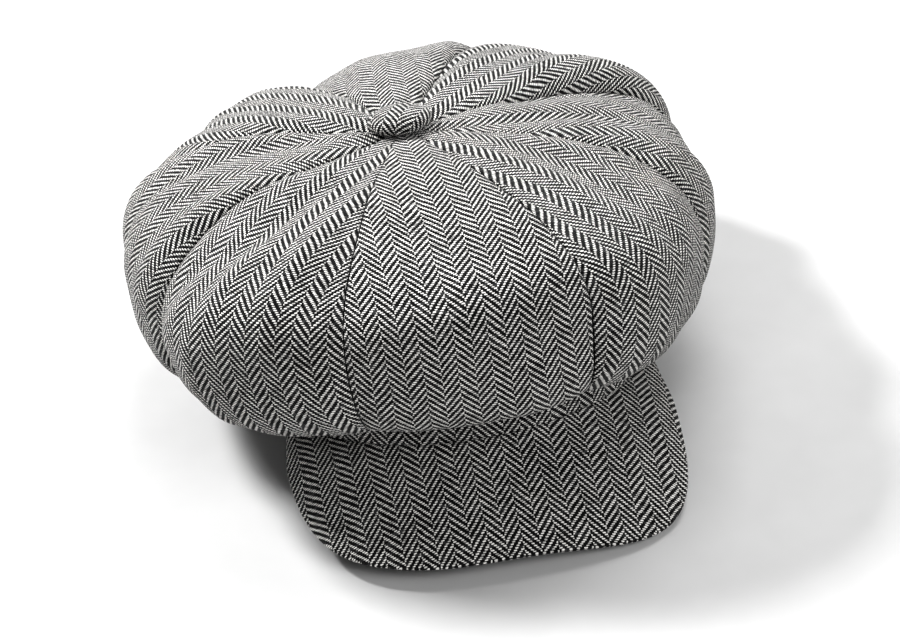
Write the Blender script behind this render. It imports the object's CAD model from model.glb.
"""Newsboy cap in herringbone tweed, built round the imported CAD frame. Metres, +Z up."""
from math import cos, hypot, pi, radians, sin, tan

import bpy
import numpy as np
from mathutils import Matrix, Vector


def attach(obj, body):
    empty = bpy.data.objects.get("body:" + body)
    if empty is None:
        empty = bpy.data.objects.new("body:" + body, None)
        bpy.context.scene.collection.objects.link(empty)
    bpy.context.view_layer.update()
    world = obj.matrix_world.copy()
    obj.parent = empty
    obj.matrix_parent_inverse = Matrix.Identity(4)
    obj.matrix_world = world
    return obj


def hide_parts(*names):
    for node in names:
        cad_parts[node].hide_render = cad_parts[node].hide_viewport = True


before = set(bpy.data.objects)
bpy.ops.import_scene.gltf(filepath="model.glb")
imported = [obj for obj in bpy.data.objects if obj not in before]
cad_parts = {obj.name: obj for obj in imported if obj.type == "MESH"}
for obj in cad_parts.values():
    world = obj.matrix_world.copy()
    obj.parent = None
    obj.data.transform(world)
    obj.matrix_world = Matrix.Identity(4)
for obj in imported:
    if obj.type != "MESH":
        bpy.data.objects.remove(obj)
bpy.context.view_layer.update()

MM = 0.001

# ---------------------------------------------------------------- sizes shared with the CAD, in mm
BAND_HALF_WIDTH = 95.0
BAND_HALF_DEPTH = 90.0
BAND_HEIGHT = 20.0
BAND_CENTRE_X = 2.0
DEPTH_CENTRE_Y = -21.0
LEAN = radians(12.6)
CLOTH = 1.4
PLY_GAP = 0.2
INTERFACING = 0.9             # thickness of the stiffening inside the band
RIM_RADIUS = 146.0
RIM_SQUARENESS = 4.5
RIM_CENTRE = (-4.0, 22.0)
TIP = (-10.0, 18.0)
RIM_HEIGHT = 64.0
RIM_LIFT_BACK = 10.5
RIM_LIFT_ENDS = 4.0
CROWN_RISE = 51.0
CROWN_FULLNESS = 0.65
UNDER_FULLNESS = 0.52
GORE_PUFF = 0.025
GORES = 8
GORE_ANGLE = 2 * pi / GORES
TIP_RADIUS = 8.0
LINING_INSET = 3.4
VISOR_END_ANGLE = 70.0
VISOR_HALF_WIDTH = 92.0
VISOR_FRONT_REACH = 104.0
VISOR_BACK_Y = -32.0
VISOR_SQUARENESS = 4.6
BOARD = 1.6

# ---------------------------------------------------------------- sizes of the soft shapes, in mm
RIM_OVAL = -3.2               # two-lobed and three-lobed slump of the rim
RIM_TREFOIL = 3.0
RIM_LIFT_UNEVEN = 1.5
SEAM_TIGHT = 0.95             # half widths of a seam's tight valley and of the soft one round it
SEAM_SOFT = 6.5
PUCKER = 0.18                 # height, length and half width of the puckers along a seam
PUCKER_LENGTH = 2.1
PUCKER_WIDTH = 4.0
LINING_SLACK = 3.6
LINING_CLOTH = 0.4
BAND_HEM = 2.9                # how far the band's lower edge turns in
SWEATBAND_CLOTH = 1.2
SWEATBAND_FOOT = 0.8
SWEATBAND_HEIGHT = 27.0
VISOR_SLOPE = radians(30.2)   # steeper than the CAD's, since its inner edge is higher
VISOR_SEAM_RISE = 1.3         # the visor's inner edge is tucked up behind the band's lower edge
VISOR_THICKNESS = 5.4
VISOR_ARCH = 1.8
VISOR_RUN_IN = 0.75           # how far the outline closes on the band's seam at each end
VISOR_END_THINNING = 0.6
BOARD_MARGIN = 0.072          # share of the visor's reach that the board stops short of its edge
CORNER_WEAR = 0.075           # the visor's -X front corner is softer, rounder and turned up
CORNER_BEARING = radians(-38)
CORNER_SPREAD = radians(19)
CORNER_RISE = 2.2
BUTTON_RADIUS = 15.3          # the cloth makes the button fuller than the CAD's
BUTTON_HEIGHT = 10.4
BUTTON_SINK = -1.4            # the button pulls down into the crown
BUTTON_SWEEP = radians(138)   # from the top of the dome round to its turned-in edge
BUTTON_CLOTH = 0.9
BUTTON_GATHERS = 17
BUTTON_CLOTH_TURN = 0.5       # the button's weave is turned by this many radians
BUTTON_CLOTH_SHIFT = 3.5      # and its column's edge lies this far off the middle

# ---------------------------------------------------------------- grids and names
GORE_GRID = (45, 120)         # columns and rows
LINING_GRID = (25, 60)
RING_COLUMNS = 220
VISOR_COLUMNS = 121
VISOR_ROWS = 34
VISOR_ROLL_ROWS = 7
BOARD_ROWS = 24
BUTTON_COLUMNS = 96
BUTTON_ROWS = 34
GORE_NAMES = (
    "front", "front_left", "left", "back_left",
    "back", "back_right", "right", "front_right",
)

# ---------------------------------------------------------------- cap plane
PLANE_ORIGIN = np.array([
    BAND_CENTRE_X,
    DEPTH_CENTRE_Y + BAND_HALF_DEPTH * (1 - cos(LEAN)),
    BAND_HALF_DEPTH * sin(LEAN),
])
PLANE_X = np.array([1.0, 0.0, 0.0])
PLANE_Y = np.array([0.0, cos(LEAN), -sin(LEAN)])
PLANE_Z = np.array([0.0, sin(LEAN), cos(LEAN)])


def to_world(local):
    """Points given on the band's tilted plane, as (..., 3) in mm, in world axes."""
    axes = np.stack([PLANE_X, PLANE_Y, PLANE_Z])
    return PLANE_ORIGIN + np.asarray(local) @ axes


# ---------------------------------------------------------------- mesh helpers
def grid_faces(rows, columns, close):
    """Quads of a grid of points; a closed grid joins its last column to its first."""
    faces = []
    for row in range(rows - 1):
        here = row * columns
        below = here + columns
        for column in range(columns if close else columns - 1):
            right = (column + 1) % columns
            faces.append((here + column, below + column, below + right, here + right))
    return faces


def mesh_piece(name, points, faces, corner_uv):
    """Smooth mesh on points in mm, with a cloth coordinate in mm for each face's corner."""
    mesh = bpy.data.meshes.new(name)
    mesh.from_pydata((points.reshape(-1, 3) * MM).tolist(), [], faces)
    layer = mesh.uv_layers.new(name="cloth")
    layer.data.foreach_set("uv", np.ascontiguousarray(corner_uv, dtype=np.float32).ravel())
    mesh.polygons.foreach_set("use_smooth", [True] * len(mesh.polygons))
    piece = bpy.data.objects.new(name, mesh)
    bpy.context.scene.collection.objects.link(piece)
    return piece


def grid_mesh(name, points, uv, close=False):
    """Quad mesh over a (rows, columns, 3) grid in mm, with cloth coordinates in mm."""
    rows, columns = points.shape[:2]
    faces = grid_faces(rows, columns, close)
    values = uv.reshape(-1, 2)
    corner_uv = closed_uv(faces, values, columns) if close else values[np.concatenate(faces)]
    return mesh_piece(name, points, faces, corner_uv)


def closed_uv(faces, values, columns):
    """Corner coordinates for a grid that closes on itself, going on past the last column."""
    step = values[1, 0] - values[0, 0]
    flat = []
    for face in faces:
        wraps = face[0] % columns == columns - 1
        for place, corner in enumerate(face):
            u, v = values[corner]
            if wraps and place in (2, 3):
                u = values[face[0], 0] + step
            flat.append((u, v))
    return np.array(flat)


def normals_of(points):
    """Unit normals of a (rows, columns, 3) grid."""
    down = np.gradient(points, axis=0)
    across = np.gradient(points, axis=1)
    normal = np.cross(down, across)
    return normal / np.maximum(np.linalg.norm(normal, axis=2, keepdims=True), 1e-9)


def cloth_uv(points):
    """Cloth coordinates in mm: across from the middle column, and along it."""
    middle = points.shape[1] // 2
    steps = np.linalg.norm(np.diff(points, axis=1), axis=2)
    across = np.concatenate([np.zeros((len(points), 1)), np.cumsum(steps, axis=1)], axis=1)
    across -= across[:, middle:middle + 1]
    run = np.linalg.norm(np.diff(points[:, middle], axis=0), axis=1)
    along = np.concatenate([[0.0], np.cumsum(run)])
    return np.stack([across, np.broadcast_to(along[:, None], across.shape)], axis=2)


def bell(value, centre, width):
    """Smooth bump, 1 at the centre and fading out over the width."""
    return np.exp(-(((value - centre) / width) ** 2))


def turn_from(phi, bearing):
    """Signed angle from a bearing, in radians."""
    return np.angle(np.exp(1j * (phi - bearing)))


def modify(piece, kind, **settings):
    """Add a modifier, set it and apply it."""
    modifier = piece.modifiers.new(kind.lower(), kind)
    for key, value in settings.items():
        setattr(modifier, key, value)
    bpy.context.view_layer.objects.active = piece
    with bpy.context.temp_override(object=piece, active_object=piece):
        bpy.ops.object.modifier_apply(modifier=modifier.name)


def thicken(piece, thickness, smooth=True):
    """Give a surface its cloth's thickness in mm, inwards, and smooth it."""
    modify(piece, "SOLIDIFY", thickness=thickness * MM, offset=-1.0, use_rim=True)
    if smooth:
        modify(piece, "SUBSURF", levels=1, render_levels=1)


def dress(piece, material, slot, *nodes):
    """Give a piece its material, its body, its slot and the CAD nodes it stands for."""
    piece.data.materials.append(material)
    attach(piece, "root")
    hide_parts(*nodes)


# ---------------------------------------------------------------- materials
class Shader:
    """Small helper that builds a material's node tree from math expressions."""

    def __init__(self, name):
        self.material = bpy.data.materials.new(name)
        self.material.use_nodes = True
        self.tree = self.material.node_tree
        self.surface = self.tree.nodes["Principled BSDF"]

    def node(self, kind, **settings):
        made = self.tree.nodes.new(kind)
        for key, value in settings.items():
            setattr(made, key, value)
        return made

    def place(self):
        """Position on the piece, in metres."""
        return self.node("ShaderNodeTexCoord").outputs["Object"]

    def cloth(self):
        """Cloth coordinates in mm."""
        return self.node("ShaderNodeUVMap", uv_map="cloth").outputs[0]

    def split(self, vector):
        """X, y and z of a vector."""
        made = self.node("ShaderNodeSeparateXYZ")
        self.feed(made.inputs[0], vector)
        return made.outputs

    def feed(self, socket, value):
        if isinstance(value, bpy.types.NodeSocket):
            self.tree.links.new(value, socket)
        else:
            socket.default_value = value

    def math(self, operation, *values):
        made = self.node("ShaderNodeMath", operation=operation)
        for socket, value in zip(made.inputs, values):
            self.feed(socket, value)
        return made.outputs[0]

    def ridge(self, value):
        """Half sine over each whole step of a value."""
        return self.math("SINE", self.math("MULTIPLY", self.math("FRACT", value), pi))

    def centred(self, value, amount):
        """A 0 to 1 value as a swing round 0, scaled."""
        return self.math("MULTIPLY", self.math("SUBTRACT", value, 0.5), amount)

    def vector(self, operation, first, second):
        made = self.node("ShaderNodeVectorMath", operation=operation)
        self.feed(made.inputs[0], first)
        self.feed(made.inputs[3 if operation == "SCALE" else 1], second)
        return made.outputs[0]

    def combine(self, x, y, z=0.0):
        made = self.node("ShaderNodeCombineXYZ")
        for socket, value in zip(made.inputs, (x, y, z)):
            self.feed(socket, value)
        return made.outputs[0]

    def noise(self, vector, scale, detail=2.0, roughness=0.5, colour=False):
        made = self.node("ShaderNodeTexNoise")
        self.feed(made.inputs["Vector"], vector)
        made.inputs["Scale"].default_value = scale
        made.inputs["Detail"].default_value = detail
        made.inputs["Roughness"].default_value = roughness
        return made.outputs["Color" if colour else "Fac"]

    def mix(self, factor, first, second):
        made = self.node("ShaderNodeMix", data_type="RGBA")
        self.feed(made.inputs[0], factor)
        self.feed(made.inputs[6], first)
        self.feed(made.inputs[7], second)
        return made.outputs[2]

    def ramp(self, value, low, high):
        """Smooth step, from 0 where the value is low to 1 where it is high."""
        made = self.node("ShaderNodeMapRange", interpolation_type="SMOOTHSTEP")
        self.feed(made.inputs["Value"], value)
        made.inputs["From Min"].default_value = low
        made.inputs["From Max"].default_value = high
        return made.outputs["Result"]

    def bump(self, height, distance, strength=1.0):
        made = self.node("ShaderNodeBump")
        made.inputs["Distance"].default_value = distance
        made.inputs["Strength"].default_value = strength
        self.feed(made.inputs["Height"], height)
        return made.outputs["Normal"]


WARP_PITCH = 0.84             # mm between warp ends
WEFT_PITCH = 0.94             # mm between picks
ENDS_PER_COLUMN = 9.0         # warp ends before the twill turns back
SLOW_WANDER = 2.8             # mm that the weave wanders over a hand's width
FAST_WANDER = 0.78            # mm that each yarn wanders
WHITE_WOOL = (1.0, 0.985, 0.955)
BLACK_WOOL = (0.95, 0.97, 1.0)
LOOSE_WOOL = (0.95, 0.94, 0.92)


def tweed_material():
    """2/2 herringbone: white weft floats over two black warp ends, turning every nine ends."""
    s = Shader("herringbone_tweed")
    place = s.place()
    slow = s.vector("SUBTRACT", s.noise(place, 28.0, 2.0, 0.5, True), (0.5, 0.5, 0.5))
    fast = s.vector("SUBTRACT", s.noise(place, 420.0, 2.0, 0.6, True), (0.5, 0.5, 0.5))
    moved = s.vector("ADD", s.cloth(), s.vector("SCALE", slow, SLOW_WANDER))
    moved = s.vector("ADD", moved, s.vector("SCALE", fast, FAST_WANDER))
    split = s.split(moved)
    ends = s.math("DIVIDE", split[0], WARP_PITCH)
    picks = s.math("DIVIDE", split[1], WEFT_PITCH)
    column = s.math("FLOOR", s.math("DIVIDE", ends, ENDS_PER_COLUMN))
    turned = s.math("FLOORED_MODULO", column, 2.0)
    side = s.math("MULTIPLY_ADD", turned, -2.0, 1.0)
    end_number = s.math("FLOOR", ends)
    pick_number = s.math("FLOOR", picks)

    # the twill breaks where it turns, so that white meets black there
    in_column = s.math("MULTIPLY_ADD", column, -ENDS_PER_COLUMN, end_number)
    step = s.math("MULTIPLY_ADD", side, in_column, pick_number)
    step = s.math("MULTIPLY_ADD", turned, ENDS_PER_COLUMN + 1, step)
    phase = s.math("FLOORED_MODULO", step, 4.0)
    white = s.math("LESS_THAN", phase, 1.5)

    # roundness of the yarn that lies on top: a white float spans two ends, a black one one pick
    mirrored = s.math("MULTIPLY_ADD", phase, -2.0, 1.0)
    cell_along = s.math("ADD", phase, s.math("MULTIPLY", turned, mirrored))
    along = s.math("ADD", cell_along, s.math("FRACT", ends))
    float_wave = s.math("SINE", s.math("MULTIPLY", along, pi / 2))
    float_round = s.math("SQRT", s.math("ABSOLUTE", float_wave))
    over = s.node("ShaderNodeMix", data_type="FLOAT")
    s.feed(over.inputs[0], white)
    s.feed(over.inputs[2], s.ridge(ends))
    s.feed(over.inputs[3], s.math("MULTIPLY", s.ridge(picks), float_round))
    yarn = over.outputs[0]

    # every white float differs a little, and fibres streak along it
    cell = s.node("ShaderNodeTexWhiteNoise", noise_dimensions="2D")
    float_start = s.math("SUBTRACT", end_number, cell_along)
    s.feed(cell.inputs["Vector"], s.combine(float_start, pick_number))
    chance = cell.outputs["Value"]
    fibre = s.noise(place, 2600.0, 3.0, 0.7)
    patch = s.noise(place, 55.0, 3.0, 0.6)
    shade = s.math("MULTIPLY_ADD", chance, 0.9, 0.6)
    shade = s.math("ADD", shade, s.centred(fibre, 1.4))
    shade = s.math("ADD", shade, s.centred(patch, 0.7))
    shade = s.math("MULTIPLY", shade, s.ramp(yarn, 0.2, 0.8))
    shade = s.math("MINIMUM", s.math("MAXIMUM", shade, 0.02), 0.97)
    light = s.vector("SCALE", WHITE_WOOL, shade)

    # the black yarn has stray white fibres and paler flecks
    dark_shade = s.math("MULTIPLY_ADD", fibre, 0.008, 0.0005)
    stray = s.ramp(s.noise(place, 900.0, 2.0, 0.7), 0.64, 0.74)
    dark_shade = s.math("ADD", dark_shade, s.math("MULTIPLY", stray, 0.06))
    flecks = s.math("MULTIPLY", s.ramp(chance, 0.7, 1.0), fibre)
    dark_shade = s.math("ADD", dark_shade, s.math("MULTIPLY", flecks, 0.09))
    dark = s.vector("SCALE", BLACK_WOOL, dark_shade)
    woven = s.mix(white, dark, light)

    # a thin nap of loose fibres lies over both yarns
    nap = s.ramp(s.noise(place, 1500.0, 3.0, 0.8), 0.5, 0.85)
    nap = s.math("MULTIPLY", nap, s.ramp(patch, 0.35, 0.75))
    loose = s.vector("SCALE", LOOSE_WOOL, 0.5)
    colour = s.mix(s.math("MULTIPLY", nap, 0.4), woven, loose)
    s.feed(s.surface.inputs["Base Color"], colour)
    s.surface.inputs["Roughness"].default_value = 0.92
    s.surface.inputs["Specular IOR Level"].default_value = 0.12
    s.surface.inputs["Sheen Weight"].default_value = 0.12
    s.surface.inputs["Sheen Roughness"].default_value = 0.3
    height = s.math("ADD", yarn, s.math("MULTIPLY", fibre, 0.7))
    height = s.math("ADD", height, s.math("MULTIPLY", white, 0.35))
    s.feed(s.surface.inputs["Normal"], s.bump(height, 0.00035, 0.9))
    return s.material


SATIN_RIB = 0.28              # mm between the satin's fine ribs


def satin_material():
    """Plain black lining: fine warp-faced satin with a soft gloss."""
    s = Shader("black_satin")
    across = s.split(s.cloth())[0]
    ribs = s.math("SINE", s.math("MULTIPLY", across, 2 * pi / SATIN_RIB))
    crease = s.noise(s.place(), 60.0, 3.0, 0.6)
    tone = s.math("MULTIPLY_ADD", crease, 0.030, 0.022)
    s.feed(s.surface.inputs["Base Color"], s.vector("SCALE", (0.95, 0.96, 1.0), tone))
    s.surface.inputs["Roughness"].default_value = 0.42
    s.surface.inputs["Sheen Weight"].default_value = 0.2
    height = s.math("ADD", s.math("MULTIPLY", ribs, 0.12), s.math("MULTIPLY", crease, 3.0))
    s.feed(s.surface.inputs["Normal"], s.bump(height, 0.0004, 0.5))
    return s.material


def twill_material(name, tone, pitch):
    """Plain-coloured cotton twill tape with diagonal ribs, pitch in mm."""
    s = Shader(name)
    split = s.split(s.cloth())
    slant = s.math("ADD", split[0], split[1])
    rib = s.math("SINE", s.math("MULTIPLY", slant, 2 * pi / pitch))
    fibre = s.noise(s.place(), 1800.0, 3.0, 0.7)
    shade = s.math("MULTIPLY_ADD", s.math("MULTIPLY_ADD", rib, 0.25, fibre), 0.7, 0.35)
    s.feed(s.surface.inputs["Base Color"], s.vector("SCALE", tone, shade))
    s.surface.inputs["Roughness"].default_value = 0.85
    s.feed(s.surface.inputs["Normal"], s.bump(s.math("ADD", rib, fibre), 0.00015, 0.7))
    return s.material


def plain_material(name, tone, roughness, metallic=0.0, grain=900.0):
    """Plain material with a fine grain and slight colour variation."""
    s = Shader(name)
    grain_noise = s.noise(s.place(), grain, 4.0, 0.6)
    shade = s.math("MULTIPLY_ADD", grain_noise, 0.3, 0.85)
    s.feed(s.surface.inputs["Base Color"], s.vector("SCALE", tone, shade))
    s.surface.inputs["Roughness"].default_value = roughness
    s.surface.inputs["Metallic"].default_value = metallic
    s.feed(s.surface.inputs["Normal"], s.bump(grain_noise, 0.00005, 0.6))
    return s.material


# ---------------------------------------------------------------- crown shape
# The cloth has settled unevenly round the rim: bearing and half width in degrees, and mm out.
SETTLING = (
    (52, 16, -9.0),
    (95, 16, -4.5),
    (116, 9, 7.0),
    (138, 11, -4.0),
    (154, 9, 7.0),
    (178, 14, -3.0),
    (-152, 9, 7.0),
    (-132, 12, -7.0),
    (-113, 10, 9.0),
    (-84, 16, -5.5),
    (-48, 16, -0.5),
)


def rim_at(phi, inset):
    """X and y of the crown's widest line at a bearing, in mm."""
    puff = 1 - np.abs(np.sin(GORES / 2 * (phi - GORE_ANGLE / 2)))
    slump = RIM_OVAL * np.sin(2 * phi) + RIM_TREFOIL * np.sin(3 * phi)
    for place, width, amount in SETTLING:
        slump = slump + amount * bell(turn_from(phi, radians(place)), 0, radians(width))
    radius = RIM_RADIUS - RIM_SQUARENESS * np.cos(4 * phi) + slump
    radius = radius * (1 - GORE_PUFF * puff) - inset
    return RIM_CENTRE[0] + radius * np.sin(phi), RIM_CENTRE[1] - radius * np.cos(phi)


def rim_lift_at(phi):
    """Height of the crown's widest line over its mean, in mm."""
    uneven = RIM_LIFT_UNEVEN * np.sin(3 * phi)
    return -RIM_LIFT_BACK * np.cos(phi) + RIM_LIFT_ENDS * np.cos(2 * phi) + uneven


def crown_points(phi, travel, inset):
    """Crown surface on the band's plane; travel is 0 at the tip, 1 at the rim, 2 at the band."""
    is_top = travel <= 1
    climb = pi / 2 * (1 - np.clip(travel, 0, 1) ** (1 / CROWN_FULLNESS))
    dip = pi / 2 * (1 - (1 - np.clip(travel - 1, 0, 1)) ** (1 / UNDER_FULLNESS))
    rim_x, rim_y = rim_at(phi, inset)
    reach_top = np.cos(climb) ** CROWN_FULLNESS
    reach_under = np.maximum(np.cos(dip), 0) ** UNDER_FULLNESS
    foot_x = (BAND_HALF_WIDTH + inset / 2) * np.sin(phi)
    foot_y = -(BAND_HALF_DEPTH + inset / 2) * np.cos(phi)
    lift = rim_lift_at(phi)
    drop = RIM_HEIGHT - BAND_HEIGHT - PLY_GAP - inset
    x_top = TIP[0] + (rim_x - TIP[0]) * reach_top
    x_under = foot_x + (rim_x - foot_x) * reach_under
    y_top = TIP[1] + (rim_y - TIP[1]) * reach_top
    y_under = foot_y + (rim_y - foot_y) * reach_under
    z_top = RIM_HEIGHT + lift * reach_top + (CROWN_RISE - inset) * np.sin(climb)
    z_under = RIM_HEIGHT + lift * np.cos(dip) - drop * np.sin(dip)
    top = np.stack([x_top, y_top, z_top], axis=-1)
    underside = np.stack([x_under, y_under, z_under], axis=-1)
    return np.where(is_top[..., None], top, underside)


# Soft folds in the crown, as lines on the top view's unit disc (x to the left ear, y to the
# back), with height and half width in mm. A negative height is a hollow.
FOLDS = (
    (0.30, 0.10, 0.93, 0.32, -4.5, 7.0),
    (0.35, 0.22, 0.90, 0.52, 3.5, 9.0),
    (0.20, -0.04, 0.62, -0.02, -2.6, 5.5),
    (0.24, -0.16, 0.55, -0.30, 2.0, 7.0),
    (0.40, -0.10, 0.95, -0.12, 2.4, 9.0),
    (0.55, -0.32, 0.93, -0.42, -2.0, 7.0),
    (-0.20, 0.02, -0.95, 0.14, -4.2, 7.0),
    (-0.25, 0.12, -0.92, 0.32, 3.4, 9.0),
    (-0.30, -0.16, -0.92, -0.24, 3.2, 8.0),
    (-0.22, -0.24, -0.70, -0.55, -2.8, 5.5),
    (-0.16, -0.32, -0.52, -0.72, 2.2, 6.0),
    (-0.40, -0.42, -0.80, -0.62, 2.4, 6.5),
    (-0.50, -0.36, -0.88, -0.44, -2.6, 5.5),
    (0.22, -0.22, 0.62, -0.62, -1.8, 6.0),
    (-0.10, 0.35, -0.36, 0.90, -3.0, 9.0),
    (0.16, 0.35, 0.22, 0.92, 2.5, 10.0),
    (0.40, 0.40, 0.66, 0.66, -2.4, 7.0),
    (-0.45, 0.42, -0.64, 0.60, 2.2, 8.0),
)

# How far each gore bellies out between its seams, and how deep the seam after it lies, in mm.
GORE_BELLIES = (0.4, 1.5, 2.5, 3.5, 4.5, 6.5, 7.5, 3.0)
SEAM_DEPTHS = (0.6, 1.5, 2.2, 2.2, 2.4, 2.0, 2.6, 0.3)
FRONT_BREAK = 4.0             # the front gores turn down sharply, from top to front face,
FRONT_FLAT = -2.0             # lie flatter above that
FRONT_SAG = 4.0               # and hang over the band


def front_shape(phi, travel):
    """Extra height of the front of the crown, where it lies flat and then breaks, in mm."""
    ridge = FRONT_BREAK * bell(travel, 0.84, 0.13)
    flat = FRONT_FLAT * bell(travel, 0.5, 0.2)
    return bell(turn_from(phi, 0), 0, 0.9) * (ridge + flat)


def fold_heights(phi, travel):
    """Height of the soft folds and the cloth's gentle waves, in mm."""
    reach = np.clip(travel, 0, 1)
    x = reach * np.sin(phi)
    y = -reach * np.cos(phi)
    height = np.zeros_like(phi)
    for x0, y0, x1, y1, amount, width in FOLDS:
        run_x, run_y = x1 - x0, y1 - y0
        along = ((x - x0) * run_x + (y - y0) * run_y) / (run_x**2 + run_y**2)
        near = np.clip(along, 0, 1)
        gap = np.hypot(x - x0 - near * run_x, y - y0 - near * run_y) * RIM_RADIUS
        fade = bell(along, near, 1 / 3) * np.sin(np.clip(along * 0.8 + 0.1, 0, 1) * pi) ** 0.5
        height = height + amount * fade * bell(gap, 0, width)
    height = height * np.clip((2.0 - travel) * 2, 0, 1)
    waves = 0.7 * np.sin(7 * phi + 9 * travel) + 0.55 * np.sin(13 * phi - 6 * travel + 1.3)
    waves = waves + 0.45 * np.sin(23 * phi + 8 * travel + 0.6) * np.sin(11 * travel + 3 * phi)
    return height + waves * np.clip(travel * 1.5, 0, 1) * np.clip(2.0 - travel, 0, 1)


def gore_grid(number, inset, columns, rows):
    """One gore's plain surface in world mm, with each point's bearing and travel."""
    half = GORE_ANGLE / 2
    even = np.linspace(-1, 1, columns)
    across = 0.55 * even + 0.45 * np.sin(even * pi / 2)
    phi = number * GORE_ANGLE + half * across
    start = TIP_RADIUS / RIM_RADIUS / (pi / 2) ** CROWN_FULLNESS
    top_rows = int(rows * 0.56)
    travel = np.concatenate([
        np.linspace(start, 1, top_rows, endpoint=False),
        np.linspace(1, 2, rows - top_rows),
    ])
    phi_grid, travel_grid = np.meshgrid(phi, travel)
    points = to_world(crown_points(phi_grid, travel_grid, inset))
    return points, phi_grid, travel_grid, across


def crown_gore(number, material):
    """One tweed gore, with its seams, belly, folds and the front's break."""
    name = GORE_NAMES[number]
    points, phi, travel, across = gore_grid(number, 0.0, *GORE_GRID)
    normal = normals_of(points)
    uv = cloth_uv(points)
    first_half = uv[:, :, 0] < 0
    width = np.abs(uv[:, :, 0])
    edge = np.maximum(width[:, :1], width[:, -1:])
    from_seam = np.maximum(np.where(first_half, width[:, :1], width[:, -1:]) - width, 0)
    # seams: a tight valley where the edges turn in, inside a wider soft one
    depth = np.where(first_half, SEAM_DEPTHS[number - 1], SEAM_DEPTHS[number])
    tight = (0.25 + 0.5 * depth) * bell(from_seam, 0, SEAM_TIGHT)
    seam = -tight - depth * bell(from_seam, 0, SEAM_SOFT)
    pucker = PUCKER * np.sin(uv[:, :, 1] / PUCKER_LENGTH + number)
    pucker = pucker * bell(from_seam, 0, PUCKER_WIDTH)
    soften = np.clip(edge / 6, 0, 1) * np.clip((2.0 - travel) * 6, 0.2, 1)
    belly = GORE_BELLIES[number] * (1 - across**2) * np.clip(edge / 50, 0, 1)
    lift = (seam + pucker) * soften + belly * np.sin(np.clip(travel / 2, 0, 1) * pi)
    lift = lift + fold_heights(phi, travel) + front_shape(phi, travel)
    points = points + normal * lift[:, :, None]
    sag = FRONT_SAG * bell(turn_from(phi, 0.18), 0, 0.75) * bell(travel, 1.45, 0.35)
    points[:, :, 2] -= sag
    piece = grid_mesh(f"tweed_gore_{name}", points, cloth_uv(points))
    thicken(piece, CLOTH)
    dress(piece, material, "tweed", f"crown_panel_{name}")


def lining_gore(number, material):
    """One satin gore, hanging slack inside the tweed one."""
    name = GORE_NAMES[number]
    points, phi, travel, across = gore_grid(number, LINING_INSET, *LINING_GRID)
    normal = normals_of(points)
    slack = np.sin(np.clip(travel / 2, 0, 1) * pi)
    seam = 1.2 * np.abs(across) ** 8
    lift = -(LINING_SLACK + 1.2 * np.sin(9 * phi + 5 * travel) + seam) * slack
    points = points + normal * lift[:, :, None]
    piece = grid_mesh(f"satin_gore_{name}", points, cloth_uv(points))
    thicken(piece, LINING_CLOTH, smooth=False)
    dress(piece, material, "lining", f"lining_panel_{name}")


# ---------------------------------------------------------------- band and sweatband
def ring_piece(name, outset, thickness, bottom, height, hem=0.0):
    """Soft oval band: rounded edges, slightly bellied, its lower edge turned in by the hem."""
    phi = np.linspace(0, 2 * pi, RING_COLUMNS, endpoint=False)
    profile = []
    for level in np.linspace(0, 1, 11):
        swell = 0.35 * sin(level * pi)
        near_edge = (max(0.0, 0.12 - level) + max(0.0, level - 0.88)) / 0.12
        roll = thickness * 0.45 * near_edge
        profile.append((outset + swell - roll, bottom + level * height))
    if hem:
        profile[:1] = [
            (outset - hem, bottom - 0.10),
            (outset - hem * 0.6, bottom - 0.25),
            (outset - hem * 0.3, bottom - 0.20),
            (outset - hem * 0.1, bottom + 0.25),
        ]
    rows = []
    lengths = []
    last = profile[0]
    for out, level in profile:
        ripple = 0.25 * np.sin(11 * phi) + 0.15 * np.sin(23 * phi + 1)
        x = (BAND_HALF_WIDTH + out + ripple) * np.sin(phi)
        y = -(BAND_HALF_DEPTH + out + ripple) * np.cos(phi)
        rows.append(to_world(np.stack([x, y, np.full_like(phi, level)], axis=-1)))
        run = hypot(out - last[0], level - last[1])
        lengths.append((lengths[-1] if lengths else 0.0) + run)
        last = (out, level)
    points = np.stack(rows)[::-1]
    turn = 2 * pi * (BAND_HALF_WIDTH + BAND_HALF_DEPTH) / 2
    uv = np.empty(points.shape[:2] + (2,))
    uv[:, :, 0] = np.linspace(0, turn, RING_COLUMNS, endpoint=False)[None]
    uv[:, :, 1] = np.array(lengths)[::-1, None]
    piece = grid_mesh(name, points, uv, close=True)
    thicken(piece, thickness)
    return piece


# ---------------------------------------------------------------- visor
def visor_end(angle):
    """0 along the visor, rising to 1 at its two ends."""
    late = np.clip((np.degrees(np.abs(angle)) - 72) / 18, 0, 1)
    return late * late * (3 - 2 * late)


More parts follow.
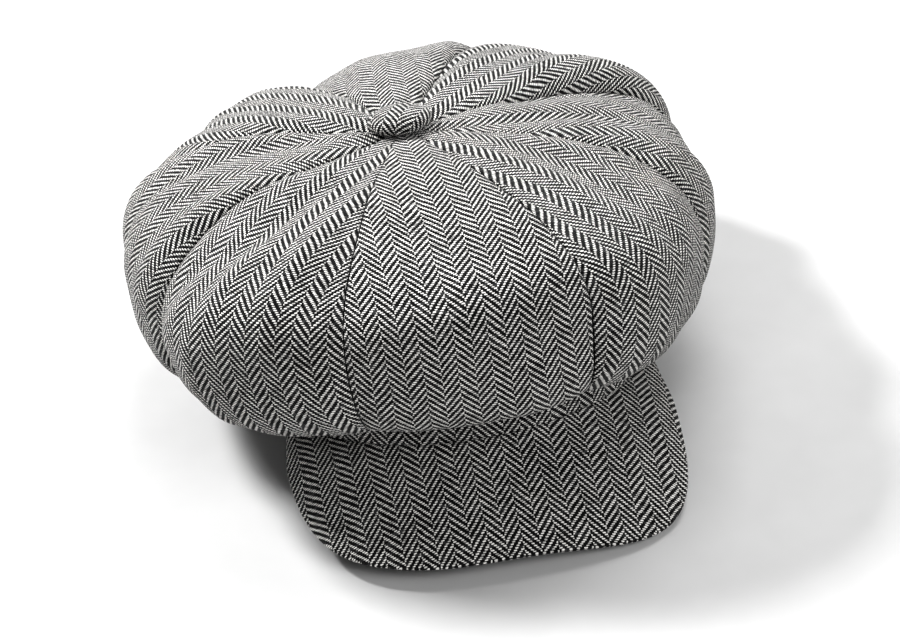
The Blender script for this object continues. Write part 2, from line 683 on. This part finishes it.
def visor_surface(angle, spread):
    """Top of the visor in world mm; spread is 0 at the band's seam and 1 at the outline."""
    phi = angle * VISOR_END_ANGLE / 90
    seam = to_world(np.stack([
        BAND_HALF_WIDTH * np.sin(phi),
        -BAND_HALF_DEPTH * np.cos(phi),
        np.full_like(phi, VISOR_SEAM_RISE),
    ], axis=-1))
    across = np.abs(np.sin(angle)) / VISOR_HALF_WIDTH
    along = np.abs(np.cos(angle)) / VISOR_FRONT_REACH
    reach = (across**VISOR_SQUARENESS + along**VISOR_SQUARENESS) ** (-1 / VISOR_SQUARENESS)
    worn_corner = bell(angle, CORNER_BEARING, CORNER_SPREAD)
    reach = reach * (1 - CORNER_WEAR * worn_corner)
    edge_x = reach * np.sin(angle) + BAND_CENTRE_X
    edge_y = VISOR_BACK_Y - reach * np.cos(angle) + DEPTH_CENTRE_Y
    run = np.hypot(edge_x - seam[..., 0], edge_y - seam[..., 1])
    edge = np.stack([edge_x, edge_y, seam[..., 2] - run * tan(VISOR_SLOPE)], axis=-1)
    edge[..., 2] += CORNER_RISE * worn_corner
    # the outline runs into the band's seam at each end
    run_in = VISOR_RUN_IN * visor_end(angle)
    edge = edge + (seam - edge) * run_in[..., None]
    point = seam + (edge - seam) * spread[..., None]
    point[..., 2] += VISOR_ARCH * np.sin(spread * pi)
    return point


def visor_thickness(angle):
    """Thickness of the whole visor in mm, less at its ends."""
    return VISOR_THICKNESS * (1 - VISOR_END_THINNING * visor_end(angle))


def visor_grid(rows, reach):
    """Bearings, the visor's top out to a share of its reach, and its upward normals."""
    angle = np.linspace(-pi / 2, pi / 2, VISOR_COLUMNS)
    angle_grid, spread_grid = np.meshgrid(angle, np.linspace(0, reach, rows))
    top = visor_surface(angle_grid, spread_grid)
    normal = normals_of(top)
    return angle, top, normal * np.sign(normal[:, :, 2:3])


def visor_cover(name, side, material, node):
    """Top (side 1) or under (side -1) cover, rolled over the board's edge to meet the other."""
    angle, top, normal = visor_grid(VISOR_ROWS, 1 - VISOR_THICKNESS / 100)
    half = visor_thickness(angle)[:, None] / 2
    middle = top - normal * half
    outward = top[-1] - top[-2]
    outward /= np.linalg.norm(outward, axis=1, keepdims=True)
    flat = middle + normal * side * half
    curl = []
    for step in range(1, VISOR_ROLL_ROWS + 1):
        turn = step / VISOR_ROLL_ROWS * pi / 2
        curl.append(middle[-1] + half * (outward * sin(turn) + normal[-1] * side * cos(turn)))
    points = np.concatenate([flat, np.stack(curl)])
    run = np.linalg.norm(np.diff(points[:, VISOR_COLUMNS // 2], axis=0), axis=1)
    along = np.concatenate([[0.0], np.cumsum(run)])
    uv = np.empty(points.shape[:2] + (2,))
    uv[:, :, 0] = points[:, :, 0]
    uv[:, :, 1] = -points[:, :, 1] / cos(VISOR_SLOPE)
    # the weave goes on over the rolled edge
    rolled = along[VISOR_ROWS:] - along[VISOR_ROWS - 1]
    uv[VISOR_ROWS:, :, 1] += rolled[:, None] * 0.5
    if side < 0:
        points = points[:, ::-1]
        uv = uv[:, ::-1]
    piece = grid_mesh(name, points, uv)
    thicken(piece, CLOTH)
    dress(piece, material, "tweed", node)


def visor_board_piece(material):
    """Flexible board between the covers, with a plain cut edge."""
    angle, top, normal = visor_grid(BOARD_ROWS, 1 - BOARD_MARGIN)
    depth = (visor_thickness(angle) - BOARD) / 2
    points = top - normal * depth[:, None]
    piece = grid_mesh("board_plate", points, points[:, :, :2].copy())
    thicken(piece, BOARD, smooth=False)
    dress(piece, material, "board", "visor_board")


# ---------------------------------------------------------------- button
def covered_button(material):
    """Tweed drawn over a domed button, with soft gathers where it turns under."""
    centre = to_world(np.array([TIP[0], TIP[1], RIM_HEIGHT + CROWN_RISE]))
    turn = np.linspace(0, 2 * pi, BUTTON_COLUMNS, endpoint=False)
    levels = np.linspace(0.012, 1.0, BUTTON_ROWS)
    sweep = levels * BUTTON_SWEEP
    radius = BUTTON_RADIUS * np.sin(sweep) ** 0.72
    height = BUTTON_HEIGHT / 2 * (1 + np.sign(np.cos(sweep)) * np.abs(np.cos(sweep)) ** 0.85)
    flat = np.cumsum(np.hypot(np.diff(radius, prepend=0), np.diff(height, prepend=height[0])))
    rows = []
    uv_rows = []
    for level, out, up, run in zip(levels, radius, height, flat):
        folds = np.sin(BUTTON_GATHERS * turn + 0.8 * np.sin(3 * turn))
        gather = 1 + 0.05 * folds * max(0.0, level - 0.5) * 2
        x = out * gather * np.cos(turn)
        y = out * gather * np.sin(turn)
        middle = centre + PLANE_Z * (up + BUTTON_SINK)
        rows.append(middle + np.outer(x, PLANE_X) + np.outer(y, PLANE_Y))
        across = run * np.cos(turn + BUTTON_CLOTH_TURN) + BUTTON_CLOTH_SHIFT
        uv_rows.append(np.stack([across, run * np.sin(turn + BUTTON_CLOTH_TURN)], axis=-1))
    faces = grid_faces(BUTTON_ROWS, BUTTON_COLUMNS, True)
    faces.append(tuple(range(BUTTON_COLUMNS)))
    corner_uv = np.stack(uv_rows).reshape(-1, 2)[np.concatenate(faces)]
    piece = mesh_piece("button_tweed", np.stack(rows), faces, corner_uv)
    thicken(piece, BUTTON_CLOTH, smooth=False)
    dress(piece, material, "tweed", "button_cover")


# ---------------------------------------------------------------- build
tweed = tweed_material()
satin = satin_material()
tape = twill_material("black_twill_tape", (0.035, 0.035, 0.04), 0.9)
for number in range(GORES):
    crown_gore(number, tweed)
    lining_gore(number, satin)

band = ring_piece("band_tweed", 0.0, CLOTH, 0.0, BAND_HEIGHT, BAND_HEM)
dress(band, tweed, "tweed", "hatband_outer")
sweatband = ring_piece(
    "sweatband_twill",
    -CLOTH - INTERFACING - 2 * PLY_GAP,
    SWEATBAND_CLOTH,
    SWEATBAND_FOOT,
    SWEATBAND_HEIGHT,
)
dress(sweatband, tape, "sweatband", "sweatband")
visor_cover("visor_tweed_top", 1, tweed, "visor_top_cover")
visor_cover("visor_tweed_under", -1, tweed, "visor_under_cover")
covered_button(tweed)
visor_board_piece(plain_material("visor_board", (0.16, 0.16, 0.16), 0.6))

# CAD nodes that are shown as they are
canvas = plain_material("interfacing", (0.72, 0.70, 0.64), 0.9, grain=1500.0)
metal = plain_material("button_metal", (0.62, 0.62, 0.62), 0.35, metallic=1.0)
carried = {"band_interfacing": canvas}
for part in ("shell", "back_plate", "washer", "prongs"):
    carried[f"button_{part}"] = metal
for node, material in carried.items():
    for slot in bpy.data.objects[node].material_slots:
        slot.material = material

# ---------------------------------------------------------------- floor, light and camera
FLOOR_SIZE = 8.0
FLOOR_DROP = 0.0002           # keeps the floor just clear of the cap
WORLD_STRENGTH = 0.16

# name, place and target in metres, width in metres, power in watts
LIGHTS = (
    ("key", (-1.05, 0.9, 1.45), (0, 0, 0.05), 0.4, 52.0),
    ("back", (0.5, 0.8, 1.6), (0, 0.05, 0), 1.1, 24.0),
    ("front", (0.8, -1.2, 1.2), (0, -0.1, 0), 0.9, 15.0),
)

CAMERA_AZIMUTH = radians(-5.8)
CAMERA_ELEVATION = radians(37.1)
CAMERA_ROLL = radians(-6.7)
CAMERA_DISTANCE = 1.038
CAMERA_TARGET = Vector((-0.0024, -0.0429, 0.060))
CAMERA_LENS = 89.0            # mm
CAMERA_SENSOR = 36.0

bpy.ops.mesh.primitive_plane_add(size=FLOOR_SIZE, location=(0, 0, -FLOOR_DROP))
floor = bpy.context.object
floor.name = "floor"
floor.data.materials.append(plain_material("pale_floor", (0.60, 0.60, 0.60), 0.8, grain=8.0))

world = bpy.data.worlds.new("studio")
bpy.context.scene.world = world
world.use_nodes = True
background = world.node_tree.nodes["Background"]
background.inputs["Color"].default_value = (1.0, 1.0, 1.0, 1.0)
background.inputs["Strength"].default_value = WORLD_STRENGTH

for name, place, target, size, power in LIGHTS:
    light = bpy.data.lights.new(name, "AREA")
    light.size = size
    light.energy = power
    lamp = bpy.data.objects.new(name, light)
    lamp.location = place
    aim = Vector(target) - Vector(place)
    lamp.rotation_euler = aim.to_track_quat("-Z", "Y").to_euler()
    bpy.context.scene.collection.objects.link(lamp)

backwards = Vector((
    sin(CAMERA_AZIMUTH) * cos(CAMERA_ELEVATION),
    -cos(CAMERA_AZIMUTH) * cos(CAMERA_ELEVATION),
    sin(CAMERA_ELEVATION),
))
level_right = Vector((cos(CAMERA_AZIMUTH), sin(CAMERA_AZIMUTH), 0.0))
level_up = backwards.cross(level_right)
rolled_right = level_right * cos(CAMERA_ROLL) + level_up * sin(CAMERA_ROLL)
rolled_up = level_up * cos(CAMERA_ROLL) - level_right * sin(CAMERA_ROLL)
turn = Matrix((rolled_right, rolled_up, backwards)).transposed().to_4x4()
camera_data = bpy.data.cameras.new("camera")
camera_data.lens = CAMERA_LENS
camera_data.sensor_width = CAMERA_SENSOR
camera = bpy.data.objects.new("camera", camera_data)
camera.matrix_world = Matrix.Translation(CAMERA_TARGET + backwards * CAMERA_DISTANCE) @ turn
bpy.context.scene.collection.objects.link(camera)
bpy.context.scene.camera = camera
bpy.context.scene.view_settings.view_transform = "Standard"
bpy.context.scene.view_settings.look = "Medium High Contrast"
